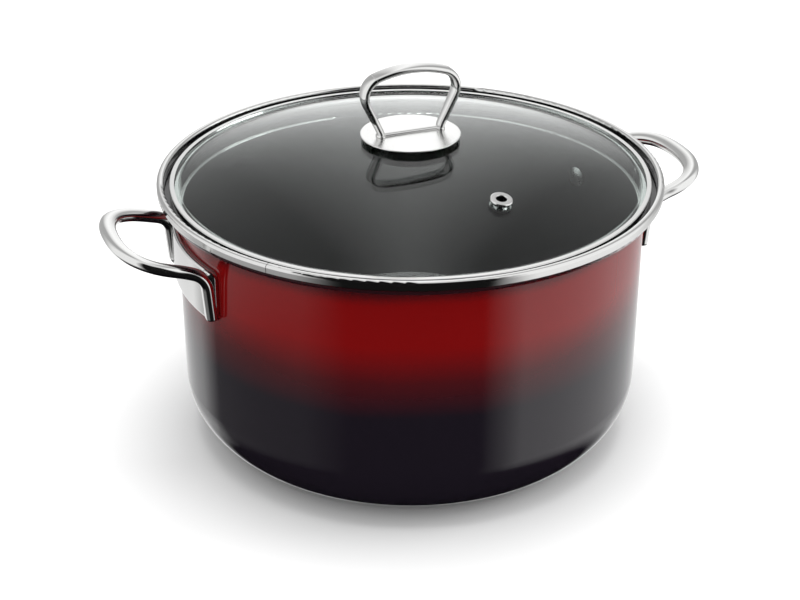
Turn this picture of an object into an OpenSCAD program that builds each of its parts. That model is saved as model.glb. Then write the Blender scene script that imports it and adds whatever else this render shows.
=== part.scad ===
// Enamelled steel stock pot with a glass lid.
// The pot's axis is the Z axis and it stands on z = 0. The side handles lie along X.

/* [Pot] */
// Outer diameter of the straight wall
wall_d = 242.4; // [200:0.2:300]
// Height of the top of the steel rim above the base
rim_h = 143; // [110:1:220]
// Thickness of the enamelled sheet
wall_t = 1.6; // [1:0.1:2.4]
// Outer radius of the corner between wall and base
corner_r = 35; // [20:1:45]
// Depth of the lid seat below the top of the rim
seat_depth = 6.2; // [5.6:0.1:10]
// Width of the flat lid seat, from the inside of the wall to the lip
seat_w = 8.3; // [7.6:0.1:12]
// Radius of the flare under the seat
flare_r = 3.4; // [2:0.1:4]

/* [Rim band] */
// Height of the steel band that caps the lip
band_h = 4.8; // [4:0.1:5.4]
// Thickness of the band on each side of the lip
band_t = 1; // [0.6:0.1:1.2]
// Width of the butt joint in the band
band_seam_w = 0.3; // [0.2:0.1:0.8]
// Direction of the butt joint
band_seam_a = 218; // [190:1:250]

/* [Lid] */
// Radial gap between the lid ring and the rim band
lid_gap = 2.8; // [1.5:0.1:4]
// Gap between the lid ring and its seat
seat_gap = 0.1; // [0.05:0.05:0.3]
// Height of the lid ring above the seat
ring_h = 4.6; // [4.4:0.1:5.4]
// Thickness of the ring's sheet
ring_t = 0.5; // [0.4:0.1:0.8]
// Width of the ring's top lip
ring_lip_w = 2.5; // [2:0.1:4]
// Radial gap between the ring's skirt and the pot wall
skirt_gap = 1.1; // [0.8:0.1:2]
// Height of the skirt below the seat
skirt_h = 9.4; // [6:0.1:14]
// Direction of the butt joint in the ring
ring_seam_a = 120; // [90:1:150]
// Thickness of the glass
glass_t = 3.4; // [3:0.1:3.6]
// Rise of the glass dome above its flat edge
dome_h = 20.6; // [12:0.1:30]
// Width of the glass's flat edge inside the ring's lip
glass_flat_w = 2.2; // [1.5:0.1:5]

/* [Steam vent] */
// Distance of the vent from the lid's centre
vent_r = 77; // [60:1:90]
// Direction of the vent
vent_a = -77; // [-110:1:-60]
// Diameter of the steam hole
vent_d = 5.3; // [4:0.1:6]
// Diameter of the vent's flange
vent_flange_d = 11.4; // [10:0.1:14]

/* [Lid knob] */
// Diameter of the knob's base plate
base_d = 51.8; // [44:0.2:64]
// Width of the loop at its shoulders, to the middle of the bar
loop_w = 50.2; // [44:0.2:56]
// Distance between the loop's feet, to the middle of the bar
foot_w = 32.4; // [28:0.2:36]
// Height of the loop, from base plate to the middle of the top bar
loop_h = 34.4; // [30:0.2:44]
// Width of the loop's bar, across the loop
loop_bar_w = 10; // [8:0.1:12]
// Thickness of the loop's bar
loop_bar_t = 4.2; // [3.4:0.1:5]
// Diameter of the knob screw
screw_d = 5; // [4:0.5:6]

/* [Side handles] */
// Reach of the bow, from the pot wall to the middle of the bar
bow_reach = 36.4; // [30:0.1:46]
// Distance between the bow's legs, to the middle of the bar
bow_w = 70; // [60:0.5:84]
// Width of the bow's bar
bow_bar_w = 8.6; // [7:0.1:10]
// Thickness of the bow's bar
bow_bar_t = 6; // [5:0.1:7]
// Rise of the bow for each millimetre that it reaches out
bow_slope = 0.27; // [0:0.01:0.35]
// Height of the bow's tip below the top of the rim
tip_drop = 12.5; // [10:0.1:20]
// Height of the mounting plate's top edge below the top of the rim
plate_drop = 21.5; // [20:0.1:26]
// Height of the mounting plate
plate_h = 27; // [24:0.5:34]
// Width of the mounting plate
plate_w = 77.6; // [70:0.2:92]
// Thickness of the mounting plate
plate_t = 3; // [2.4:0.1:4]
// Diameter of the rivets' shanks
rivet_d = 5; // [4:0.5:6]

/* [Hidden] */
$fn = 96;
eps = 0.01;

// Pot: radii of the wall and heights of the mouth
wall_r = wall_d / 2;
bore_r = wall_r - wall_t;
seat_z = rim_h - seat_depth;
lip_in_r = bore_r + seat_w;
lip_out_r = lip_in_r + wall_t;
lip_top_z = rim_h - band_t;
lip_round_r = 2.6;
seat_round_r = 1.5;

// Rim band
band_in_r = lip_in_r - band_t;
band_out_r = lip_out_r + band_t;
band_round_r = (band_out_r - band_in_r) / 2 - 0.3;
band_low_round_r = 0.8;

// Lid ring
ring_out_r = band_in_r - lid_gap;
ring_in_r = ring_out_r - ring_lip_w;
ring_bot_z = seat_z + seat_gap;
ring_top_z = ring_bot_z + ring_h;
skirt_out_r = bore_r - skirt_gap;
skirt_in_r = skirt_out_r - ring_t;
skirt_bot_z = seat_z - skirt_h;
bead_r = 0.8;
ring_seam_w = 0.25;

// Glass: the flat edge sits in the ring's channel, and the dome is part of a ball
glass_top_fit = 0.05;
glass_side_fit = 0.3;
glass_top_z = ring_top_z - ring_t - glass_top_fit;
glass_edge_r = ring_out_r - ring_t - glass_side_fit;
dome_r = ring_in_r - glass_flat_w;
ball_r = (dome_r * dome_r + dome_h * dome_h) / (2 * dome_h);
inner_ball_r = ball_r - glass_t;
ball_z = glass_top_z + dome_h - ball_r;
glass_low_z = glass_top_z - glass_t;
inner_dome_r = sqrt(inner_ball_r * inner_ball_r - (glass_low_z - ball_z) * (glass_low_z - ball_z));
crown_z = glass_top_z + dome_h;
knob_hole_d = screw_d + 4;

// Vent: it stands square to the glass
vent_tilt = asin(vent_r / ball_r);
vent_z = ball_z + ball_r * cos(vent_tilt);
vent_wall_t = 0.7;
vent_tube_d = vent_d + 2 * vent_wall_t;
vent_gasket_t = 0.5;
vent_flange_t = 1.5;
vent_washer_t = 0.8;
vent_washer_fit = 0.06;
vent_curl_t = 0.7;
vent_curl_w = 0.9;

// Knob, stacked on the crown of the glass
gasket_t = 1.6;
base_t = 0.8;
base_crown = 0.5;
base_z = crown_z + gasket_t;
base_top_z = base_z + base_t;
base_ball_r = (base_d * base_d / 4 + base_crown * base_crown) / (2 * base_crown);
gasket_d = 22;
gasket_top_z = base_z - base_ball_r + sqrt(base_ball_r * base_ball_r - gasket_d * gasket_d / 4);
stem_d = screw_d + 3;
foot_bar_w = 3.6;
foot_bar_t = 1.2;
loop_top_z = base_top_z + loop_h;
shoulder_z = base_top_z + 0.8 * loop_h;
shoulder_r = 9.9;
loop_crown_r = 57;
seal_t = 1;
washer_t = 1.2;
washer_d = 20;
seal_top_z = ball_z + sqrt(inner_ball_r * inner_ball_r - washer_d * washer_d / 4);
washer_top_z = seal_top_z - seal_t;
screw_head_d = 2 * screw_d - 0.6;
screw_head_t = 3;
stem_bot_z = crown_z - glass_t + 0.6;
thread_len = 5;

// Side handles
tip_z = rim_h - tip_drop;
plate_top_z = rim_h - plate_drop;
plate_bot_z = plate_top_z - plate_h;
plate_r = wall_r + plate_t;
leg_r = wall_r + 4.6;
leg_a = asin((plate_w / 2 - 2.3) / leg_r);
leg_bend_r = 9;
rivet_z = (plate_top_z + plate_bot_z) / 2 - 1;
rivet_len = wall_t + 4.4;
rivet_head_d = 2.2 * rivet_d;
rivet_head_t = 2;

// ---- paths and sweeps ----

function unit(v) = v / norm(v);

function flat_to(v, n) = unit(v - (v * n) * n);

// Points of a circular arc between two straight stretches that meet at corner b
function corner_arc(a, b, c, r, n) =
    let (
        u = unit(a - b),
        v = unit(c - b),
        half = acos(u * v) / 2,
        mid = b + unit(u + v) * r / sin(half),
        from = unit(b + u * r / tan(half) - mid),
        to = unit(b + v * r / tan(half) - mid),
        sweep_a = 180 - 2 * half
    )
    [for (i = [0:n]) mid + r * (sin(sweep_a * (1 - i / n)) * from + sin(sweep_a * i / n) * to)
        / sin(sweep_a)];

// A path through corners p, each rounded to its own radius in r
function rounded_path(p, r, n) = [
    for (i = [0:len(p) - 1])
        let (ends = i == 0 || i == len(p) - 1)
        for (q = ends ? [p[i]] : corner_arc(p[i - 1], p[i], p[i + 1], r[i], n)) q
];

function tangent(p, i) = unit(p[min(i + 1, len(p) - 1)] - p[max(i - 1, 0)]);

// Thickness directions along a path: each is the last one, laid square to the path again
function normals(p, n0) = [
    for (i = 0, n = flat_to(n0, tangent(p, 0)); i < len(p);
        i = i + 1, n = i < len(p) ? flat_to(n, tangent(p, i)) : n) n
];

// A flattened oval, w wide and t thick
function oval(w, t, sides) = [
    for (k = [0:sides - 1])
        let (a = 360 * k / sides, c = cos(a), s = sin(a))
        [w / 2 * sign(c) * pow(abs(c), 0.8), t / 2 * sign(s) * pow(abs(s), 0.8)]
];

// Sweeps an oval along path p: sizes holds [width, thickness] for each point
module sweep_oval(p, n0, sizes, sides) {
    nn = normals(p, n0);
    rings = [
        for (i = [0:len(p) - 1])
            let (side = cross(tangent(p, i), nn[i]))
            for (q = oval(sizes[i][0], sizes[i][1], sides)) p[i] + q[0] * side + q[1] * nn[i]
    ];
    last = (len(p) - 1) * sides;
    faces = concat(
        [[for (k = [sides - 1:-1:0]) k]],
        [for (i = [0:len(p) - 2], k = [0:sides - 1])
            let (a = i * sides + k, b = i * sides + (k + 1) % sides)
            [a, b, b + sides, a + sides]],
        [[for (k = [0:sides - 1]) last + k]]
    );
    polyhedron(rings, faces, 6);
}

// ---- pot ----

// Half section of a filled cup: outer radius r, corner radius c, from floor z0 to z1
module cup_section(r, c, z0, z1) {
    translate([0, z0 + c]) square([r, z1 - z0 - c]);
    translate([0, z0]) square([r - c, c + eps]);
    translate([r - c, z0 + c]) intersection() {
        circle(c);
        translate([-eps, -c]) square([c + eps, c + eps]);
    }
}

// Half section of the flare, the flat seat and the upright lip
module mouth_section() {
    low_z = seat_z - wall_t;
    translate([wall_r - wall_t / 2, low_z])
        square([lip_out_r - lip_round_r - wall_r + wall_t / 2, wall_t]);
    translate([lip_in_r, low_z + lip_round_r]) square([wall_t, lip_top_z - low_z - lip_round_r]);
    translate([lip_out_r - lip_round_r, low_z + lip_round_r]) difference() {
        intersection() {
            circle(lip_round_r);
            translate([-eps, -lip_round_r]) square([lip_round_r + eps, lip_round_r + eps]);
        }
        circle(lip_round_r - wall_t);
    }
    translate([wall_r - eps, low_z - flare_r]) difference() {
        square([flare_r, flare_r + eps]);
        translate([flare_r, 0]) circle(flare_r);
    }
}

module pot_section() {
    difference() {
        cup_section(wall_r, corner_r, 0, seat_z);
        cup_section(bore_r, corner_r - wall_t, wall_t, seat_z + 1);
        translate([bore_r - eps, seat_z - seat_round_r]) difference() {
            square([seat_round_r, seat_round_r + eps]);
            translate([seat_round_r + eps, 0]) circle(seat_round_r);
        }
    }
    difference() {
        mouth_section();
        translate([bore_r, seat_z - seat_round_r]) difference() {
            translate([-1, 0]) square([seat_round_r + 1, seat_round_r + eps]);
            translate([seat_round_r, 0]) circle(seat_round_r);
        }
    }
}

module pot_shell() {
    color([0.42, 0.05, 0.06])
    difference() {
        rotate_extrude($fn = 180) pot_section();
        at_rivets(0) rivet_shank();
        at_rivets(180) rivet_shank();
    }
}

module band_section() {
    low_z = rim_h - band_h;
    r = band_round_r;
    difference() {
        union() {
            translate([band_in_r + band_low_round_r, low_z])
                square([band_out_r - band_in_r - 2 * band_low_round_r, band_h - r]);
            translate([band_in_r, low_z + band_low_round_r])
                square([band_out_r - band_in_r, band_h - r - band_low_round_r]);
            translate([band_in_r + r, rim_h - r]) square([band_out_r - band_in_r - 2 * r, r]);
            for (x = [band_in_r + r, band_out_r - r]) translate([x, rim_h - r]) circle(r);
            for (x = [band_in_r + band_low_round_r, band_out_r - band_low_round_r])
                translate([x, low_z + band_low_round_r]) circle(band_low_round_r);
        }
        translate([lip_in_r, low_z - 1]) square([wall_t, lip_top_z - low_z + 1]);
    }
}

module rim_band() {
    color([0.82, 0.82, 0.82])
    difference() {
        rotate_extrude($fn = 180) band_section();
        rotate(band_seam_a) translate([band_in_r - 1, -band_seam_w / 2, rim_h - band_h - 1])
            cube([band_out_r - band_in_r + 2, band_seam_w, band_h + 2]);
    }
}

// ---- side handles ----

// Half of the bow's centre line, from its tip to where it turns down the wall
function bow_half() =
    let (
        reach = wall_r + bow_reach,
        depth = 25.8,
        half = bow_w / 2
    )
    [for (k = [0:14])
        let (
            a = 90 * k / 14,
            x = reach - depth + depth * pow(cos(a), 0.8),
            y = half * pow(sin(a), 0.8)
        )
        [x, y, tip_z - bow_slope * (reach - x)]];

function leg_line() =
    let (
        root = bow_half()[14],
        top = [leg_r * cos(leg_a), leg_r * sin(leg_a), plate_top_z - 1.6],
        foot_r = plate_r - 0.6,
        foot = [foot_r * cos(leg_a), foot_r * sin(leg_a), plate_bot_z + 3]
    )
    rounded_path([root, top, foot], [0, leg_bend_r, 0], 7);

function swap_side(p) = [p[0], -p[1], p[2]];

function bow_path() =
    let (
        leg = leg_line(),
        half = concat(bow_half(), [for (i = [1:len(leg) - 1]) leg[i]]),
        n = len(half)
    )
    concat([for (i = [n - 1:-1:1]) swap_side(half[i])], half);

module handle() {
    path = bow_path();
    half_n = (len(path) - 1) / 2;
    sizes = [
        for (i = [0:len(path) - 1])
            let (end = abs(i - half_n) == half_n)
            [bow_bar_w * (end ? 0.8 : 1), bow_bar_t * (end ? 0.5 : 1)]
    ];
    sweep_oval(path, [-1, 0, 0], sizes, 20);
    intersection() {
        difference() {
            cylinder(h = rim_h, r = plate_r, $fn = 360);
            translate([0, 0, -1]) cylinder(h = rim_h + 2, r = wall_r, $fn = 360);
        }
        plate_outline();
    }
}

// The mounting plate's outline, seen from outside
module plate_outline() {
    round_r = 4;
    translate([wall_r / 2, 0, 0]) rotate([90, 0, 90]) linear_extrude(wall_r)
        for (y = [-plate_w / 2 + round_r, plate_w / 2 - round_r]) {
            for (z = [plate_bot_z + round_r, plate_top_z - round_r])
                translate([y, z]) circle(round_r);
            translate([y - round_r, plate_bot_z + round_r])
                square([2 * round_r, plate_h - 2 * round_r]);
            translate([-plate_w / 2 + round_r, plate_bot_z])
                square([plate_w - 2 * round_r, plate_h]);
        }
}

module rivet_shank() {
    translate([bore_r - 0.5, 0, 0]) rotate([0, 90, 0]) cylinder(h = rivet_len + 0.5, d = rivet_d);
}

module at_rivets(turn) {
    for (side = [-1, 1]) rotate(turn + side * leg_a) translate([0, 0, rivet_z]) children();
}

module rivets(turn) {
    head_ball_r = (rivet_head_d * rivet_head_d / 4 + rivet_head_t * rivet_head_t) / (2 * rivet_head_t);
    color([0.75, 0.75, 0.76])
    at_rivets(turn) {
        rivet_shank();
        difference() {
            intersection() {
                translate([bore_r - rivet_head_t + head_ball_r, 0, 0]) sphere(head_ball_r);
                translate([bore_r - rivet_head_t - 1, 0, 0]) rotate([0, 90, 0])
                    cylinder(h = rivet_head_t + 2, d = rivet_head_d);
            }
            translate([0, 0, -rivet_head_d]) difference() {
                cylinder(h = 2 * rivet_head_d, r = bore_r + 4, $fn = 360);
                translate([0, 0, -1]) cylinder(h = 2 * rivet_head_d + 2, r = bore_r, $fn = 360);
            }
        }
    }
}

module placed_handle(turn) {
    color([0.8, 0.8, 0.8])
    difference() {
        rotate(turn) handle();
        at_rivets(turn) rivet_shank();
    }
}

module left_handle() placed_handle(180);
module right_handle() placed_handle(0);
module left_handle_rivets() rivets(180);
module right_handle_rivets() rivets(0);

// ---- lid ----

module lid_ring() {
    color([0.82, 0.82, 0.82])
    difference() {
        rotate_extrude($fn = 180) ring_section();
        rotate(ring_seam_a) translate([ring_in_r - 1, -ring_seam_w / 2, ring_bot_z + ring_t])
            cube([ring_lip_w + 2, ring_seam_w, ring_h]);
    }
}

module ring_section() {
    round_r = ring_t;
    translate([ring_in_r, ring_top_z - ring_t]) square([ring_lip_w - round_r, ring_t]);
    translate([ring_out_r - ring_t, ring_bot_z]) square([ring_t, ring_h - round_r]);
    translate([ring_out_r - round_r, ring_top_z - round_r]) intersection() {
        circle(round_r);
        translate([-eps, -eps]) square(round_r + 2 * eps);
    }
    translate([skirt_in_r, ring_bot_z]) square([ring_out_r - skirt_in_r, ring_t]);
    translate([skirt_in_r, skirt_bot_z + bead_r])
        square([ring_t, ring_bot_z + ring_t - skirt_bot_z - bead_r]);
    translate([skirt_out_r - bead_r, skirt_bot_z + bead_r]) circle(bead_r);
}

module glass_section() {
    intersection() {
        translate([0, ball_z]) difference() {
            circle(ball_r, $fn = 720);
            circle(inner_ball_r, $fn = 720);
        }
        translate([0, glass_low_z]) square([dome_r, dome_h + glass_t + 1]);
    }
    translate([inner_dome_r, glass_low_z]) square([glass_edge_r - inner_dome_r, glass_t]);
}

module at_vent() {
    rotate(vent_a) translate([vent_r, 0, vent_z]) rotate([0, vent_tilt, 0]) children();
}

module lid_glass() {
    color([0.35, 0.36, 0.37, 0.5])
    difference() {
        rotate_extrude($fn = 180) glass_section();
        translate([0, 0, crown_z - glass_t - 2]) cylinder(h = glass_t + 4, d = knob_hole_d);
        at_vent() translate([0, 0, -glass_t - 2]) cylinder(h = glass_t + 4, d = vent_tube_d + 0.6);
    }
}

module vent_eyelet() {
    tube_len = glass_t + vent_gasket_t + vent_washer_fit + vent_washer_t + vent_curl_t;
    color([0.85, 0.85, 0.85])
    at_vent() difference() {
        union() {
            translate([0, 0, vent_gasket_t]) flange(vent_flange_d, vent_flange_t);
            translate([0, 0, vent_gasket_t - tube_len]) cylinder(h = tube_len + eps, d = vent_tube_d);
            translate([0, 0, vent_gasket_t - tube_len])
                cylinder(h = vent_curl_t, d = vent_tube_d + 2 * vent_curl_w);
        }
        translate([0, 0, -tube_len - 1]) cylinder(h = tube_len + vent_flange_t + 3, d = vent_d);
    }
}

// A round flange with a rounded rim and a rounded mouth
module flange(d, t) {
    rotate_extrude() difference() {
        union() {
            square([d / 2 - t / 2, t]);
            translate([d / 2 - t / 2, t / 2]) circle(t / 2);
        }
        translate([vent_d / 2 - eps, t - 0.5]) difference() {
            square([0.5, 0.5 + eps]);
            translate([0.5 + eps, 0]) circle(0.5);
        }
    }
}

module vent_gasket() {
    color([0.15, 0.15, 0.15])
    at_vent() difference() {
        cylinder(h = vent_gasket_t, d = vent_flange_d - 1.2);
        translate([0, 0, -1]) cylinder(h = vent_gasket_t + 2, d = vent_tube_d);
    }
}

module vent_washer() {
    color([0.7, 0.7, 0.7])
    at_vent() translate([0, 0, -glass_t - vent_washer_fit - vent_washer_t]) difference() {
        cylinder(h = vent_washer_t, d = vent_flange_d - 0.6);
        translate([0, 0, -1]) cylinder(h = vent_washer_t + 2, d = vent_tube_d);
    }
}

// ---- lid knob ----

module knob_base() {
    drop = base_crown;
    color([0.84, 0.84, 0.84])
    difference() {
        intersection() {
            translate([0, 0, base_top_z - base_ball_r]) sphere(base_ball_r, $fn = 720);
            translate([0, 0, base_z - drop]) cylinder(h = base_t + drop + 1, d = base_d);
        }
        translate([0, 0, base_z - base_ball_r]) sphere(base_ball_r, $fn = 720);
        translate([0, 0, base_z - 1]) cylinder(h = base_t + 2, d = stem_d);
    }
}

// Closed centre line of the loop, in the XZ plane
function loop_path() =
    let (
        foot_x = foot_w / 2,
        corner_x = loop_w / 2 + 3.5,
        corners = [
            [foot_x, 0, base_top_z + 0.1],
            [foot_x, 0, base_top_z + 1.5],
            [corner_x, 0, shoulder_z],
            [0, 0, loop_top_z + 3.8],
            [-corner_x, 0, shoulder_z],
            [-foot_x, 0, base_top_z + 1.5],
            [-foot_x, 0, base_top_z + 0.1]
        ]
    )
    rounded_path(corners, [0, 3, shoulder_r, loop_crown_r, shoulder_r, 3, 0], 10);

module knob_loop() {
    path = loop_path();
    sizes = [
        for (q = path)
            let (rise = min(1, (q[2] - base_top_z) / (0.8 * loop_h)))
            [loop_bar_w * (0.7 + 0.3 * rise), loop_bar_t * (0.85 + 0.15 * rise)]
    ];
    color([0.84, 0.84, 0.84])
    difference() {
        union() {
            sweep_oval(path, [1, 0, 0], sizes, 24);
            translate([0, 0, base_top_z]) linear_extrude(foot_bar_t) foot_outline();
            translate([0, 0, stem_bot_z]) cylinder(h = base_top_z - stem_bot_z + eps, d = stem_d);
        }
        translate([0, 0, stem_bot_z - 1]) cylinder(h = thread_len + 1, d = screw_d);
    }
}

// The slim bar that joins the loop's feet on the base plate, with a round pad under each foot
module foot_outline() {
    for (x = [-foot_w / 2, foot_w / 2]) translate([x, 0]) circle(0.37 * loop_bar_w);
    translate([-foot_w / 2, -foot_bar_w / 2]) square([foot_w, foot_bar_w]);
}

module knob_gasket() {
    color([0.12, 0.12, 0.12])
    translate([0, 0, crown_z]) difference() {
        cylinder(h = gasket_top_z - crown_z, d = gasket_d);
        translate([0, 0, -1]) cylinder(h = gasket_t + 2, d = stem_d);
    }
}

module knob_seal() {
    color([0.12, 0.12, 0.12])
    translate([0, 0, washer_top_z]) difference() {
        cylinder(h = seal_t, d = washer_d);
        translate([0, 0, -1]) cylinder(h = seal_t + 2, d = stem_d);
    }
}

module knob_washer() {
    color([0.7, 0.7, 0.7])
    translate([0, 0, washer_top_z - washer_t]) difference() {
        cylinder(h = washer_t, d = washer_d);
        translate([0, 0, -1]) cylinder(h = washer_t + 2, d = screw_d);
    }
}

module knob_screw() {
    head_z = washer_top_z - washer_t;
    color([0.7, 0.7, 0.7])
    difference() {
        union() {
            translate([0, 0, head_z - screw_head_t]) cylinder(h = screw_head_t, d = screw_head_d);
            translate([0, 0, head_z - eps])
                cylinder(h = stem_bot_z + thread_len - head_z, d = screw_d);
        }
        for (a = [0, 90]) rotate(a) translate([-screw_head_d / 3, -0.6, head_z - screw_head_t - 1])
            cube([screw_head_d / 1.5, 1.2, 2.6]);
    }
}

pot_shell();
rim_band();
left_handle();
right_handle();
left_handle_rivets();
right_handle_rivets();
lid_glass();
lid_ring();
vent_eyelet();
vent_gasket();
vent_washer();
knob_base();
knob_loop();
knob_gasket();
knob_seal();
knob_washer();
knob_screw();
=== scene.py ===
import bpy
import bmesh
import math
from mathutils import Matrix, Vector


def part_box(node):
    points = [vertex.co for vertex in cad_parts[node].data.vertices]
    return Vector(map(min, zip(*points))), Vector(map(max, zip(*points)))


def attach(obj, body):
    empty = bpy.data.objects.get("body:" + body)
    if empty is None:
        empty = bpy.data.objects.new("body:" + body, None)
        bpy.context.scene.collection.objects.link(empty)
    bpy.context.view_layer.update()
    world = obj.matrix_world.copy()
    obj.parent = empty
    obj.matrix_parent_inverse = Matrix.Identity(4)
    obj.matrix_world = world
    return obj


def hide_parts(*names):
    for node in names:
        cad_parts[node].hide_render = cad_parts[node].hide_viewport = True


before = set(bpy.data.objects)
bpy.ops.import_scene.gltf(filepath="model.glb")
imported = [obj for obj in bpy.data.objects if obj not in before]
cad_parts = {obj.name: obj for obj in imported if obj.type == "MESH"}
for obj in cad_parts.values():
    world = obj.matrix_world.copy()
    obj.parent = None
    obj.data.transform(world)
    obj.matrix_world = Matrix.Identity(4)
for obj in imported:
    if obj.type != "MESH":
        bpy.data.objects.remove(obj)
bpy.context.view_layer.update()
scene = bpy.context.scene
print("frame loaded:", len(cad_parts), "nodes")

mm = 0.001


def fromHex(code, alpha=1.0):
    # sRGB hex to the linear values that shaders take
    out = []
    for start in (1, 3, 5):
        c = int(code[start:start + 2], 16) / 255
        out.append(c / 12.92 if c <= 0.04045 else ((c + 0.055) / 1.055) ** 2.4)
    return (*out, alpha)


def addNode(tree, kind, settings=None, links=None, at=(0, 0)):
    # one shader node: settings are its own properties or its sockets, links feed sockets from other nodes
    node = tree.nodes.new(kind)
    node.location = at
    for key, value in (settings or {}).items():
        if isinstance(key, int) or key in node.inputs:
            node.inputs[key].default_value = value
        else:
            setattr(node, key, value)
    for key, source in (links or {}).items():
        tree.links.new(source, node.inputs[key])
    return node


def newMaterial(name):
    made = bpy.data.materials.new(name)
    made.use_nodes = True
    made.node_tree.nodes.clear()
    return made, made.node_tree


def finishMaterial(tree, shader):
    addNode(tree, "ShaderNodeOutputMaterial", links={"Surface": shader.outputs[0]}, at=(900, 0))


def setStops(ramp, stops):
    # stops are (place, hex) pairs; a new ramp already has two
    for i, (place, code) in enumerate(stops):
        stop = ramp.color_ramp.elements[i] if i < 2 else ramp.color_ramp.elements.new(place)
        stop.position = place
        stop.color = fromHex(code)


def dress(node, material):
    # the CAD node keeps its mesh and takes the finished material
    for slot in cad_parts[node].material_slots:
        slot.material = material


# Vitreous enamel sprayed on pressed steel and fired: a deep wet gloss with a faint orange peel. The spray
# fades in fine dots from near black at the foot into red. The near black just under the rim is painted shade,
# standing in for the shadow of the rim's flare.
enamel = {
    "red": "#700A0B",
    "middle": "#401014",
    # painted shade: the wall's colour just under the rim, where the rim's flare shades it
    "underRimPaintedShade": "#220E12",
    "dark": "#17131A",
    "inside": "#0F0F11",
    "insideFleck": "#2A2A2D",
    "fadeFrom": 104 * mm,
    "fadeMiddle": 0.5,
    "fadeTo": 66 * mm,
    # heights over which the painted shade under the rim comes in
    "rimPaintedShadeHeights": (126 * mm, 133.5 * mm),
    "fadeWander": 5 * mm,
    "dotSize": 0.7 * mm,
    "peelSize": 3.5 * mm,
    "peelDepth": 0.005 * mm,
    "fleckSize": 1.1 * mm,
    "roughness": (0.03, 0.08),
    "ior": 1.52,
    "middleHeight": 68 * mm,
    "wanderSize": 60 * mm,
    "seatHeight": 136.3 * mm,
    "seatPush": 50 * mm,
    "sideSlack": 0.1 * mm,
}


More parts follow.
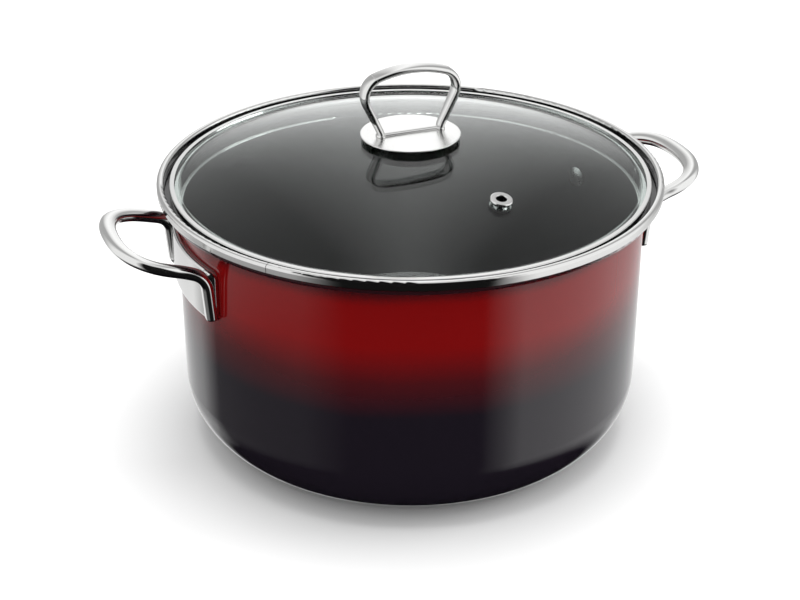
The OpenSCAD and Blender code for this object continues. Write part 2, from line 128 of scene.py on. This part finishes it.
def makeEnamel():
    made, tree = newMaterial("vitreousEnamelFired")
    place = addNode(tree, "ShaderNodeTexCoord", at=(-1800, 0))
    split = addNode(tree, "ShaderNodeSeparateXYZ", links={0: place.outputs["Object"]}, at=(-1600, 100))
    # the side a point lies on: its normal against the way out from the pot's axis, and everything
    # above the lid seat takes the inside's enamel
    above = addNode(tree, "ShaderNodeMath", {"operation": "SUBTRACT", 1: enamel["middleHeight"]},
                    {0: split.outputs["Z"]}, at=(-1400, -100))
    lower = addNode(tree, "ShaderNodeMath", {"operation": "MINIMUM", 1: 0.0}, {0: above.outputs[0]},
                    at=(-1200, -100))
    outward = addNode(tree, "ShaderNodeCombineXYZ",
                      links={"X": split.outputs["X"], "Y": split.outputs["Y"], "Z": lower.outputs[0]},
                      at=(-1000, -100))
    facing = addNode(tree, "ShaderNodeVectorMath", {"operation": "DOT_PRODUCT"},
                     {0: outward.outputs[0], 1: place.outputs["Normal"]}, at=(-800, -100))
    overSeat = addNode(tree, "ShaderNodeMath", {"operation": "GREATER_THAN", 1: enamel["seatHeight"]},
                       {0: split.outputs["Z"]}, at=(-1000, -300))
    seatShift = addNode(tree, "ShaderNodeMath",
                        {"operation": "MULTIPLY_ADD", 1: -enamel["seatPush"], 2: enamel["sideSlack"]},
                        {0: overSeat.outputs[0]}, at=(-800, -300))
    side = addNode(tree, "ShaderNodeMath", {"operation": "ADD"},
                   {0: facing.outputs["Value"], 1: seatShift.outputs[0]}, at=(-600, -200))
    isInside = addNode(tree, "ShaderNodeMath", {"operation": "LESS_THAN", 1: 0.0}, {0: side.outputs[0]},
                       at=(-400, -200))
    # the fade: height, moved a little by a slow wander and by the spray's dots
    wander = addNode(tree, "ShaderNodeTexNoise", {"Scale": 1 / enamel["wanderSize"], "Detail": 2.0},
                     {"Vector": place.outputs["Object"]}, at=(-1400, 400))
    dots = addNode(tree, "ShaderNodeTexNoise", {"Scale": 1 / enamel["dotSize"], "Detail": 1.0},
                   {"Vector": place.outputs["Object"]}, at=(-1400, 200))
    moved = addNode(tree, "ShaderNodeMath", {"operation": "MULTIPLY_ADD", 1: enamel["fadeWander"]},
                    {0: wander.outputs["Fac"], 2: split.outputs["Z"]}, at=(-1200, 400))
    dottedHeight = addNode(tree, "ShaderNodeMath", {"operation": "MULTIPLY_ADD", 1: enamel["fadeWander"]},
                      {0: dots.outputs["Fac"], 2: moved.outputs[0]}, at=(-1000, 300))
    fade = addNode(tree, "ShaderNodeMapRange",
                   {"From Min": enamel["fadeTo"] + enamel["fadeWander"],
                    "From Max": enamel["fadeFrom"] + enamel["fadeWander"]},
                   {"Value": dottedHeight.outputs[0]}, at=(-800, 300))
    outside = addNode(tree, "ShaderNodeValToRGB", links={"Fac": fade.outputs[0]}, at=(-600, 300))
    setStops(outside, [(0.0, enamel["dark"]), (1.0, enamel["red"]), (enamel["fadeMiddle"], enamel["middle"])])
    # painted shade: the wall turns near black just under the rim, where the flare shades it, with the same
    # wandering dotted edge as the fade
    rimShadeShare = addNode(tree, "ShaderNodeMapRange",
                      {"From Min": enamel["rimPaintedShadeHeights"][0] + enamel["fadeWander"],
                       "From Max": enamel["rimPaintedShadeHeights"][1] + enamel["fadeWander"]},
                      {"Value": dottedHeight.outputs[0]}, at=(-800, 550))
    outsideAndRimShade = addNode(tree, "ShaderNodeMix", {"data_type": "RGBA", 7: fromHex(enamel["underRimPaintedShade"])},
                    {0: rimShadeShare.outputs[0], 6: outside.outputs[0]}, at=(-400, 300))
    fleck = addNode(tree, "ShaderNodeTexVoronoi", {"Scale": 1 / enamel["fleckSize"]},
                    {"Vector": place.outputs["Object"]}, at=(-800, -500))
    inside = addNode(tree, "ShaderNodeValToRGB", links={"Fac": fleck.outputs["Distance"]}, at=(-600, -500))
    setStops(inside, [(0.05, enamel["insideFleck"]), (0.14, enamel["inside"])])
    colour = addNode(tree, "ShaderNodeMix", {"data_type": "RGBA"},
                     {0: isInside.outputs[0], 6: outsideAndRimShade.outputs[2], 7: inside.outputs[0]}, at=(-200, 100))
    peel = addNode(tree, "ShaderNodeTexNoise", {"Scale": 1 / enamel["peelSize"], "Detail": 2.0},
                   {"Vector": place.outputs["Object"]}, at=(-600, -800))
    bump = addNode(tree, "ShaderNodeBump", {"Strength": 1.0, "Distance": enamel["peelDepth"]},
                   {"Height": peel.outputs["Fac"]}, at=(-200, -700))
    gloss = addNode(tree, "ShaderNodeMapRange",
                    {"To Min": enamel["roughness"][0], "To Max": enamel["roughness"][1]},
                    {"Value": wander.outputs["Fac"]}, at=(-200, -400))
    shader = addNode(tree, "ShaderNodeBsdfPrincipled", {"IOR": enamel["ior"]},
                     {"Base Color": colour.outputs[2], "Roughness": gloss.outputs[0],
                      "Normal": bump.outputs[0]}, at=(400, 0))
    finishMaterial(tree, shader)
    return made


# Stainless steel in four finishes. lineGap is the spacing of the polishing lines, drawn coarser than
# a real 400 grit so that they still show, and lineDepth is how deep they look.
steel = {
    "strip": {"colour": "#DADAD9", "roughness": (0.05, 0.11), "lineGap": 0.35 * mm,
              "lineDepth": 0.0006 * mm, "lines": "round"},
    "cast": {"colour": "#DEDEDD", "roughness": (0.05, 0.13), "lineGap": 0.5 * mm,
             "lineDepth": 0.0006 * mm, "lines": "cloud"},
    "disc": {"colour": "#ECECEB", "roughness": (0.20, 0.28), "lineGap": 0.3 * mm,
             "lineDepth": 0.0003 * mm, "lines": "round"},
    "plain": {"colour": "#C4C4C4", "roughness": (0.22, 0.36), "lineGap": 0.6 * mm,
              "lineDepth": 0.002 * mm, "lines": "cloud"},
}
# lineTurn is how far the lines' noise moves on for each radian round the axis
steelShared = {"lineTurn": 3 * mm, "hazeSize": 14 * mm, "hazeRange": (0.1, 0.4)}


def makeSteel(name, values):
    made, tree = newMaterial(name)
    place = addNode(tree, "ShaderNodeTexCoord", at=(-1400, 0))
    if values["lines"] == "round":
        # lines that run round the axis: noise that changes with radius and height only, and slowly with angle
        split = addNode(tree, "ShaderNodeSeparateXYZ", links={0: place.outputs["Object"]}, at=(-1200, 0))
        flat = addNode(tree, "ShaderNodeCombineXYZ",
                       links={"X": split.outputs["X"], "Y": split.outputs["Y"]}, at=(-1000, 100))
        radius = addNode(tree, "ShaderNodeVectorMath", {"operation": "LENGTH"}, {0: flat.outputs[0]},
                         at=(-800, 100))
        turn = addNode(tree, "ShaderNodeMath", {"operation": "ARCTAN2"},
                       {0: split.outputs["Y"], 1: split.outputs["X"]}, at=(-1000, -100))
        slow = addNode(tree, "ShaderNodeMath", {"operation": "MULTIPLY", 1: steelShared["lineTurn"]},
                       {0: turn.outputs[0]}, at=(-800, -100))
        across = addNode(tree, "ShaderNodeCombineXYZ",
                         links={"X": radius.outputs["Value"], "Y": slow.outputs[0], "Z": split.outputs["Z"]},
                         at=(-600, 0))
        where = across.outputs[0]
    else:
        where = place.outputs["Object"]
    lines = addNode(tree, "ShaderNodeTexNoise", {"Scale": 1 / values["lineGap"], "Detail": 2.0},
                    {"Vector": where}, at=(-400, -200))
    haze = addNode(tree, "ShaderNodeTexNoise", {"Scale": 1 / steelShared["hazeSize"], "Detail": 3.0},
                   {"Vector": place.outputs["Object"]}, at=(-400, 200))
    both = addNode(tree, "ShaderNodeMath", {"operation": "MULTIPLY"},
                   {0: lines.outputs["Fac"], 1: haze.outputs["Fac"]}, at=(-200, 100))
    gloss = addNode(tree, "ShaderNodeMapRange",
                    {"From Min": steelShared["hazeRange"][0], "From Max": steelShared["hazeRange"][1],
                     "To Min": values["roughness"][0], "To Max": values["roughness"][1]},
                    {"Value": both.outputs[0]}, at=(0, 100))
    bump = addNode(tree, "ShaderNodeBump", {"Strength": 1.0, "Distance": values["lineDepth"]},
                   {"Height": lines.outputs["Fac"]}, at=(0, -200))
    shader = addNode(tree, "ShaderNodeBsdfPrincipled",
                     {"Base Color": fromHex(values["colour"]), "Metallic": 1.0},
                     {"Roughness": gloss.outputs[0], "Normal": bump.outputs[0]}, at=(400, 0))
    finishMaterial(tree, shader)
    return made


# Toughened soda-lime glass, pressed and fire-polished: clear, faintly grey-green, with a mirror-like skin
# that waves very slightly where the press left it. The index is a choice of looks, set below
# that of real glass (1.52), which makes the reflections fainter than a real lid's.
glass = {"tint": "#EDF3F1", "roughness": 0.0, "ior": 1.33, "waveSize": 40 * mm, "waveDepth": 0.001 * mm}


def makeGlass():
    made, tree = newMaterial("toughenedGlassPressed")
    place = addNode(tree, "ShaderNodeTexCoord", at=(-600, 0))
    waves = addNode(tree, "ShaderNodeTexNoise", {"Scale": 1 / glass["waveSize"], "Detail": 1.0},
                    {"Vector": place.outputs["Object"]}, at=(-400, 0))
    bump = addNode(tree, "ShaderNodeBump", {"Strength": 1.0, "Distance": glass["waveDepth"]},
                   {"Height": waves.outputs["Fac"]}, at=(-100, -100))
    shader = addNode(tree, "ShaderNodeBsdfPrincipled",
                     {"Base Color": fromHex(glass["tint"]), "Roughness": glass["roughness"],
                      "IOR": glass["ior"], "Transmission Weight": 1.0},
                     {"Normal": bump.outputs[0]}, at=(200, 0))
    finishMaterial(tree, shader)
    return made


# Silicone rubber, moulded: nearly black, with a soft dusty sheen and a fine moulded grain.
rubber = {
    "colour": "#151515",
    "dusty": "#262626",
    "roughness": 0.55,
    "ior": 1.41,
    "grain": 0.4 * mm,
    "grainDepth": 0.01 * mm,
}


def makeSilicone():
    made, tree = newMaterial("siliconeRubberMoulded")
    place = addNode(tree, "ShaderNodeTexCoord", at=(-600, 0))
    grain = addNode(tree, "ShaderNodeTexNoise", {"Scale": 1 / rubber["grain"], "Detail": 3.0},
                    {"Vector": place.outputs["Object"]}, at=(-400, 0))
    shade = addNode(tree, "ShaderNodeValToRGB", links={"Fac": grain.outputs["Fac"]}, at=(-200, 100))
    setStops(shade, [(0.35, rubber["colour"]), (0.75, rubber["dusty"])])
    bump = addNode(tree, "ShaderNodeBump", {"Strength": 1.0, "Distance": rubber["grainDepth"]},
                   {"Height": grain.outputs["Fac"]}, at=(-100, -200))
    shader = addNode(tree, "ShaderNodeBsdfPrincipled", {"Roughness": rubber["roughness"], "IOR": rubber["ior"]},
                     {"Base Color": shade.outputs[0], "Normal": bump.outputs[0]}, at=(200, 0))
    finishMaterial(tree, shader)
    return made


dress("pot_shell", makeEnamel())
stripSteel = makeSteel("stainlessStripPolished", steel["strip"])
castSteel = makeSteel("stainlessCastPolished", steel["cast"])
discSteel = makeSteel("stainlessDiscSatin", steel["disc"])
plainSteel = makeSteel("stainlessPlainTumbled", steel["plain"])
silicone = makeSilicone()
dress("lid_glass", makeGlass())
for node in ("rim_band", "lid_ring", "vent_eyelet"):
    dress(node, stripSteel)
for node in ("left_handle_rivets", "right_handle_rivets", "vent_washer", "knob_washer", "knob_screw"):
    dress(node, plainSteel)
for node in ("vent_gasket", "knob_gasket", "knob_seal"):
    dress(node, silicone)
print("materials made and CAD nodes dressed")


def addMesh(name, mesh, material, body, slotName, *nodes):
    # shades a finished mesh smooth and stands it in for the CAD nodes it replaces
    data = bpy.data.meshes.new(name)
    mesh.to_mesh(data)
    mesh.free()
    for face in data.polygons:
        face.use_smooth = True
    data.materials.append(material)
    made = bpy.data.objects.new(name, data)
    scene.collection.objects.link(made)
    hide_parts(*nodes)
    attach(made, body)


def evenly(points, gap):
    # the same line with points at an even gap
    out = [points[0]]
    left = gap
    for a, b in zip(points, points[1:]):
        length = (b - a).length
        while left < length:
            out.append(a.lerp(b, left / length))
            left += gap
        left -= length
    out.append(points[-1])
    return out


def relax(points, rounds):
    # softens the line's corners and keeps its ends
    for _ in range(rounds):
        inner = [(a + b * 2 + c) / 4 for a, b, c in zip(points, points[1:], points[2:])]
        points = [points[0]] + inner + [points[-1]]
    return points


def roundCorner(a, b, c, bend, steps):
    # the arc that takes the line a, b, c round its middle corner
    back, on = (a - b).normalized(), (c - b).normalized()
    half = back.angle(on) / 2
    middle = b + (back + on).normalized() * bend / math.sin(half)
    reach = bend / math.tan(half)
    start, end = b + back * reach - middle, b + on * reach - middle
    spanned = math.pi - 2 * half
    out = []
    for k in range(steps + 1):
        share = k / steps
        mixed = start * math.sin(spanned * (1 - share)) + end * math.sin(spanned * share)
        out.append(middle + mixed / math.sin(spanned))
    return out


def sweepOval(mesh, points, sizeAt, across, sides=28, square=0.85):
    # a solid bar along the points: sizeAt gives its width and thickness at a share of the length
    rings = []
    last = len(points) - 1
    for i, point in enumerate(points):
        along = (points[min(i + 1, last)] - points[max(i - 1, 0)]).normalized()
        across = (across - along * across.dot(along)).normalized()
        side = along.cross(across)
        width, thickness = sizeAt(i / last)
        ring = []
        for k in range(sides):
            a = 2 * math.pi * k / sides
            c, s = math.cos(a), math.sin(a)
            u = width / 2 * math.copysign(abs(c) ** square, c)
            v = thickness / 2 * math.copysign(abs(s) ** square, s)
            ring.append(mesh.verts.new(point + side * u + across * v))
        rings.append(ring)
    for first, second in zip(rings, rings[1:]):
        for k in range(sides):
            n = (k + 1) % sides
            mesh.faces.new((first[k], first[n], second[n], second[k]))
    mesh.faces.new(list(reversed(rings[0])))
    mesh.faces.new(rings[-1])


# Side handles: one bow of bar with its legs bent down onto a plate that follows the wall.
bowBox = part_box("right_handle")
bow = {
    "barWidth": 8.6 * mm,
    "barThickness": 6.0 * mm,
    "wallRadius": 121.2 * mm,
    "plateThickness": 3.0 * mm,
    "plateWidth": 77.6 * mm,
    "plateHeight": 27 * mm,
    "plateCorner": 4 * mm,
    "legRadius": 125.8 * mm,
    "depth": 25.8 * mm,
    "spread": 70 * mm,
    "slope": 0.27,
    "roundness": 0.8,
    "bend": 9 * mm,
    "fillet": 1.7 * mm,
    "rimDrop": 0.7 * mm,
    "tipDrop": 0.3 * mm,
    "legInset": 2.3 * mm,
    "legMargin": 1.6 * mm,
    "footSink": 0.4 * mm,
    "legEnd": 3 * mm,
    "filletReach": 0.5 * mm,
    "filletFade": 2.5 * mm,
    "backGap": 0.02 * mm,
    "gap": 0.9 * mm,
    "arcSteps": 180,
    "plateGrid": (120, 44),
}


def bowLine():
    # centre line of half the bow, from the tip to the foot of a leg
    tipX = bowBox[1].x - bow["barWidth"] / 2
    tipZ = bowBox[1].z - bow["barThickness"] / 2 - bow["tipDrop"]
    plateBottom = bowBox[0].z
    plateTop = plateBottom + bow["plateHeight"]
    turn = math.asin((bow["plateWidth"] / 2 - bow["legInset"]) / bow["legRadius"])
    steps = bow["arcSteps"]
    points = []
    for k in range(steps + 1):
        a = math.pi / 2 * k / steps
        out = bow["depth"] * math.cos(a) ** bow["roundness"] if k < steps else 0.0
        x = tipX - bow["depth"] + out
        y = bow["spread"] / 2 * math.sin(a) ** bow["roundness"]
        points.append(Vector((x, y, tipZ - bow["slope"] * (tipX - x))))
    topRadius = bow["legRadius"]
    top = Vector((topRadius * math.cos(turn), topRadius * math.sin(turn), plateTop - bow["legMargin"]))
    footRadius = bow["wallRadius"] + bow["plateThickness"] - bow["footSink"]
    foot = Vector((footRadius * math.cos(turn), footRadius * math.sin(turn), plateBottom + bow["legMargin"]))
    points += roundCorner(points[-1], top, foot, bow["bend"], 24)
    points.append(foot)
    return points, turn


def makeHandleMesh():
    halfLine, turn = bowLine()
    mirrored = [Vector((p.x, -p.y, p.z)) for p in reversed(halfLine[1:])]
    line = relax(evenly(mirrored + halfLine, bow["gap"]), 6)
    length = bow["gap"] * (len(line) - 1)
    mesh = bmesh.new()

    def barSize(share):
        # the legs' ends round off into the plate
        fromEnd = min(share, 1 - share) * length
        left = 1 - min(fromEnd / bow["legEnd"], 1.0)
        end = min(1.0, math.sqrt(max(0.0, 1 - left ** 2)) + 0.25)
        return bow["barWidth"] * (0.55 + 0.45 * end), bow["barThickness"] * (0.35 + 0.65 * end)

    sweepOval(mesh, line, barSize, Vector((-1, 0, 0)))
    # the plate: a grid in a rounded rectangle, thicker in a fillet beside each leg
    halfWidth, halfHeight, corner = bow["plateWidth"] / 2, bow["plateHeight"] / 2, bow["plateCorner"]
    middleZ = bowBox[0].z + halfHeight
    legY = bow["legRadius"] * math.sin(turn)
    columns, rows = bow["plateGrid"]
    front, back = [], []
    for i in range(rows + 1):
        v = -1 + 2 * i / rows
        v = math.copysign(1 - (1 - abs(v)) ** 1.25, v)
        frontRow, backRow = [], []
        for k in range(columns + 1):
            u = -1 + 2 * k / columns
            z = v * halfHeight
            over = max(0.0, abs(z) - (halfHeight - corner))
            pull = corner - math.sqrt(max(0.0, corner ** 2 - over ** 2))
            y = u * (halfWidth - pull)
            edge = min(halfHeight - abs(z), (1 - abs(u)) * (halfWidth - pull))
            lip = bow["rimDrop"]
            drop = lip - math.sqrt(max(0.0, lip ** 2 - max(0.0, lip - edge) ** 2))
            gap = abs(abs(y) - legY) - bow["barWidth"] / 2 + bow["filletReach"]
            fillet = bow["fillet"]
            inFillet = max(0.0, fillet - max(0.0, gap))
            swell = fillet - math.sqrt(max(0.0, fillet ** 2 - inFillet ** 2))
            swell *= min(1.0, max(0.0, edge / bow["filletFade"]))
            radius = bow["wallRadius"] + bow["plateThickness"] - drop + swell
            for r, row in ((radius, frontRow), (bow["wallRadius"] + bow["backGap"], backRow)):
                row.append(mesh.verts.new((math.sqrt(max(0.0, r ** 2 - y ** 2)), y, middleZ + z)))
        front.append(frontRow)
        back.append(backRow)
    for i in range(rows):
        for k in range(columns):
            mesh.faces.new((front[i][k], front[i][k + 1], front[i + 1][k + 1], front[i + 1][k]))
            mesh.faces.new((back[i][k], back[i + 1][k], back[i + 1][k + 1], back[i][k + 1]))
    for i in range(rows):
        mesh.faces.new((front[i][0], front[i + 1][0], back[i + 1][0], back[i][0]))
        mesh.faces.new((front[i][-1], back[i][-1], back[i + 1][-1], front[i + 1][-1]))
    for k in range(columns):
        mesh.faces.new((front[0][k], back[0][k], back[0][k + 1], front[0][k + 1]))
        mesh.faces.new((front[-1][k], front[-1][k + 1], back[-1][k + 1], back[-1][k]))
    bmesh.ops.recalc_face_normals(mesh, faces=mesh.faces)
    return mesh


addMesh("rightBow", makeHandleMesh(), castSteel, "pot", "handle_steel", "right_handle")
leftMesh = makeHandleMesh()
bmesh.ops.scale(leftMesh, vec=(-1, -1, 1), verts=leftMesh.verts)
addMesh("leftBow", leftMesh, castSteel, "pot", "handle_steel", "left_handle")
print("side handles made")

# Knob: a satin disc with a rolled edge, and a loop of flattened bar joined at its feet by a slim bar.
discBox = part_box("knob_base")
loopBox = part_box("knob_loop")
knob = {
    "discEdge": 0.35 * mm,
    "crown": 0.5 * mm,
    "barWidth": 10 * mm,
    "barThickness": 4.2 * mm,
    "footSpread": 32.4 * mm,
    "loopSpread": 50.2 * mm,
    "shoulderShare": 0.8,
    "shoulderBend": 9.9 * mm,
    "crownBend": 57 * mm,
    "crownOver": 3.8 * mm,
    "footBend": 3 * mm,
    "footBarWidth": 3.6 * mm,
    "footBarHeight": 1.5 * mm,
    "footLift": 0.05 * mm,
    "footUpright": 1.5 * mm,
    "cornerOut": 3.5 * mm,
    "beadSize": (7.4 * mm, 5 * mm),
    "gap": 0.5 * mm,
    "lathe": 160,
}


def roundedLine(corners, bends):
    # a line through the corners, each rounded to its own bend
    out = [corners[0]]
    for a, b, c, bend in zip(corners, corners[1:], corners[2:], bends):
        out += roundCorner(a, b, c, bend, 16)
    out.append(corners[-1])
    return out


def makeLoopMesh():
    baseTop = discBox[1].z
    topZ = loopBox[1].z - knob["barThickness"] / 2
    height = topZ - baseTop
    footX, cornerX = knob["footSpread"] / 2, knob["loopSpread"] / 2 + knob["cornerOut"]
    right = [Vector((footX, 0, baseTop + knob["footLift"])),
             Vector((footX, 0, baseTop + knob["footUpright"])),
             Vector((cornerX, 0, baseTop + knob["shoulderShare"] * height))]
    left = [Vector((-p.x, 0, p.z)) for p in reversed(right)]
    corners = right + [Vector((0, 0, topZ + knob["crownOver"]))] + left
    sideBends = [knob["footBend"], knob["shoulderBend"]]
    bends = sideBends + [knob["crownBend"]] + sideBends[::-1]
    line = relax(evenly(roundedLine(corners, bends), knob["gap"]), 10)
    mesh = bmesh.new()
    total = len(line) - 1

    def barSize(share):
        rise = min(1.0, (line[round(share * total)].z - baseTop) / (knob["shoulderShare"] * height))
        return knob["barWidth"] * (0.62 + 0.38 * rise), knob["barThickness"] * (0.85 + 0.15 * rise)

    sweepOval(mesh, line, barSize, Vector((1, 0, 0)))
    footLine = [Vector((-footX + 2 * footX * k / 60, 0, baseTop + 0.35 * mm)) for k in range(61)]
    footBar = (knob["footBarWidth"], 2 * knob["footBarHeight"] - 0.7 * mm)
    sweepOval(mesh, footLine, lambda share: footBar, Vector((0, 0, 1)))
    for footAt in (-footX, footX):
        # a soft weld bead where each foot meets the disc
        bead = [Vector((footAt, 0, baseTop + z * mm)) for z in (-0.1, 0.2, 0.5, 0.8, 1.0)]
        spread = (1.0, 1.0, 0.96, 0.86, 0.72)
        sweepOval(mesh, bead, lambda share: [size * spread[round(share * 4)] for size in knob["beadSize"]],
                  Vector((1, 0, 0)), square=1.0)
    bmesh.ops.recalc_face_normals(mesh, faces=mesh.faces)
    return mesh


def makeDiscMesh():
    # lathed from half its section, with a rolled edge
    radius, top, bottomEdge = discBox[1].x, discBox[1].z, discBox[0].z
    edge, crown = knob["discEdge"], knob["crown"]
    flat = radius - edge
    edgeZ = top - crown - edge
    profile = [(flat * k / 30, top - crown * (k / 30) ** 2) for k in range(31)]
    for k in range(1, 9):
        a = math.pi * k / 8
        profile.append((flat + edge * math.sin(a), edgeZ + edge * math.cos(a)))
    profile += [(flat * (1 - k / 30), edgeZ - edge + crown * (1 - (1 - k / 30) ** 2)) for k in range(1, 31)]
    mesh = bmesh.new()
    steps = knob["lathe"]
    turns = [2 * math.pi * k / steps for k in range(steps)]
    rings = []
    for r, z in profile[1:-1]:
        rings.append([mesh.verts.new((r * math.cos(a), r * math.sin(a), max(z, bottomEdge))) for a in turns])
    topPoint, lowPoint = mesh.verts.new((0, 0, top)), mesh.verts.new((0, 0, profile[-1][1]))
    for first, second in zip(rings, rings[1:]):
        for k in range(steps):
            n = (k + 1) % steps
            mesh.faces.new((first[k], first[n], second[n], second[k]))
    for k in range(steps):
        n = (k + 1) % steps
        mesh.faces.new((topPoint, rings[0][n], rings[0][k]))
        mesh.faces.new((lowPoint, rings[-1][k], rings[-1][n]))
    bmesh.ops.recalc_face_normals(mesh, faces=mesh.faces)
    return mesh


addMesh("knobLoopBar", makeLoopMesh(), castSteel, "lid", "knob_steel", "knob_loop")
addMesh("knobDisc", makeDiscMesh(), discSteel, "lid", "knob_steel", "knob_base")
print("knob made")

camera = {
    "place": (-0.29335, -0.74471, 0.48153),
    "tilt": 62.6165,
    "turn": -21.117,
    "lens": 75.343,
}
cameraData = bpy.data.cameras.new("productCamera")
cameraData.lens = camera["lens"]
cameraData.sensor_width = 36
cameraObject = bpy.data.objects.new("productCamera", cameraData)
cameraObject.location = camera["place"]
cameraObject.rotation_euler = (math.radians(camera["tilt"]), 0, math.radians(camera["turn"]))
scene.collection.objects.link(cameraObject)
scene.camera = cameraObject

studio = {
    "frontTurn": -111.5,      # degrees round the pot, the side that faces the lens
    "floorColour": "#F4F4F4",
    "floorSize": 8.0,
    # what the studio shows in reflections, by degrees from the front, negative to the left
    "lowWalls": [(-180, "#E4E4E4"), (180, "#E4E4E4"), (-128, "#E4E4E4"), (-112, "#6A6A6A"), (-54, "#6A6A6A"),
                 (-30, "#141414"), (36, "#141414"), (48, "#A8A8A8"), (58, "#E8E8E8")],
    "highWalls": [(-180, "#FFFFFF"), (180, "#FFFFFF"), (-174, "#F0F0F0"), (-160, "#A8A8A8"), (-135, "#A8A8A8"),
                  (-112, "#EAEAEA"), (-52, "#EAEAEA"), (-34, "#101010"), (38, "#101010"), (52, "#F4F4F4"),
                  (112, "#F4F4F4"), (135, "#A8A8A8"), (160, "#A8A8A8"), (174, "#F0F0F0")],
    "ceiling": "#D8D8D8",
    "underfoot": "#0A0A0C",
    "strength": 1.3,
    "wallSplit": (-0.48, -0.34),
    "ceilingSplit": (0.90, 0.96),
    "footSplit": (-0.72, -0.60),
}


def plane(name, width, height):
    mesh = bpy.data.meshes.new(name)
    w, h = width / 2, height / 2
    mesh.from_pydata([(-w, -h, 0), (w, -h, 0), (w, h, 0), (-w, h, 0)], [], [(0, 1, 2, 3)])
    made = bpy.data.objects.new(name, mesh)
    scene.collection.objects.link(made)
    return made


floor = plane("studioFloor", studio["floorSize"], studio["floorSize"])
floorMaterial, floorTree = newMaterial("paperSweepMatt")
floorShader = addNode(floorTree, "ShaderNodeBsdfDiffuse", {"Color": fromHex(studio["floorColour"])})
finishMaterial(floorTree, floorShader)
floor.data.materials.append(floorMaterial)
floor.visible_glossy = False


def areaLight(name, turn, distance, height, size, power, aim=(0, 0, 0.08)):
    # lights the object without showing in its reflections, which the walls of the studio make
    data = bpy.data.lights.new(name, "AREA")
    data.shape = "RECTANGLE"
    data.size, data.size_y = size
    data.energy = power
    made = bpy.data.objects.new(name, data)
    a = math.radians(studio["frontTurn"] + turn)
    made.location = (distance * math.cos(a), distance * math.sin(a), height)
    made.rotation_euler = (made.location - Vector(aim)).to_track_quat("Z", "Y").to_euler()
    made.visible_glossy = False
    scene.collection.objects.link(made)


areaLight("topSoftbox", 180, 0.1, 1.8, (1.2, 1.2), 20)
areaLight("rightSoftbox", 100, 1.4, 0.5, (0.8, 0.8), 7)

world = bpy.data.worlds.new("studioAir")
world.use_nodes = True
scene.world = world
tree = world.node_tree
tree.nodes.clear()
ray = addNode(tree, "ShaderNodeTexCoord", at=(-1400, 0))
front = math.radians(studio["frontTurn"])
toFront = addNode(tree, "ShaderNodeVectorMath",
                  {"operation": "DOT_PRODUCT", 1: (math.cos(front), math.sin(front), 0)},
                  {0: ray.outputs["Generated"]}, at=(-1200, 100))
toRight = addNode(tree, "ShaderNodeVectorMath",
                  {"operation": "DOT_PRODUCT", 1: (-math.sin(front), math.cos(front), 0)},
                  {0: ray.outputs["Generated"]}, at=(-1200, -100))
around = addNode(tree, "ShaderNodeMath", {"operation": "ARCTAN2"},
                 {0: toRight.outputs["Value"], 1: toFront.outputs["Value"]}, at=(-1000, 0))
aroundShare = addNode(tree, "ShaderNodeMapRange", {"From Min": -math.pi, "From Max": math.pi},
                      {"Value": around.outputs[0]}, at=(-800, 0))
walls = []
for name, down in (("lowWalls", 200), ("highWalls", -100)):
    wall = addNode(tree, "ShaderNodeValToRGB", links={"Fac": aroundShare.outputs[0]}, at=(-600, down))
    setStops(wall, [((degrees + 180) / 360, code) for degrees, code in studio[name]])
    walls.append(wall)
height = addNode(tree, "ShaderNodeSeparateXYZ", links={0: ray.outputs["Generated"]}, at=(-1200, -300))
shares = []
for i, name in enumerate(("wallSplit", "ceilingSplit", "footSplit")):
    low, high = studio[name]
    shares.append(addNode(tree, "ShaderNodeMapRange", {"From Min": low, "From Max": high},
                          {"Value": height.outputs["Z"]}, at=(-600, -400 - 200 * i)))
wallMix = addNode(tree, "ShaderNodeMix", {"data_type": "RGBA"},
                  {0: shares[0].outputs[0], 6: walls[0].outputs[0], 7: walls[1].outputs[0]}, at=(-200, 0))
allMix = addNode(tree, "ShaderNodeMix", {"data_type": "RGBA", 7: fromHex(studio["ceiling"])},
                 {0: shares[1].outputs[0], 6: wallMix.outputs[2]}, at=(0, 0))
footMix = addNode(tree, "ShaderNodeMix", {"data_type": "RGBA", 6: fromHex(studio["underfoot"])},
                  {0: shares[2].outputs[0], 7: allMix.outputs[2]}, at=(100, 0))
# reflections see the walls, everything else a plain white room
seen = addNode(tree, "ShaderNodeBackground", {"Strength": studio["strength"]},
               {"Color": footMix.outputs[2]}, at=(200, 0))
plain = addNode(tree, "ShaderNodeBackground", {"Color": (1, 1, 1, 1), "Strength": 1.0}, at=(200, -200))
rays = addNode(tree, "ShaderNodeLightPath", at=(200, 300))
air = addNode(tree, "ShaderNodeMixShader",
              links={0: rays.outputs["Is Glossy Ray"], 1: plain.outputs[0], 2: seen.outputs[0]}, at=(400, 0))
addNode(tree, "ShaderNodeOutputWorld", links={"Surface": air.outputs[0]}, at=(600, 0))

scene.view_settings.view_transform = "Standard"
print("studio set")
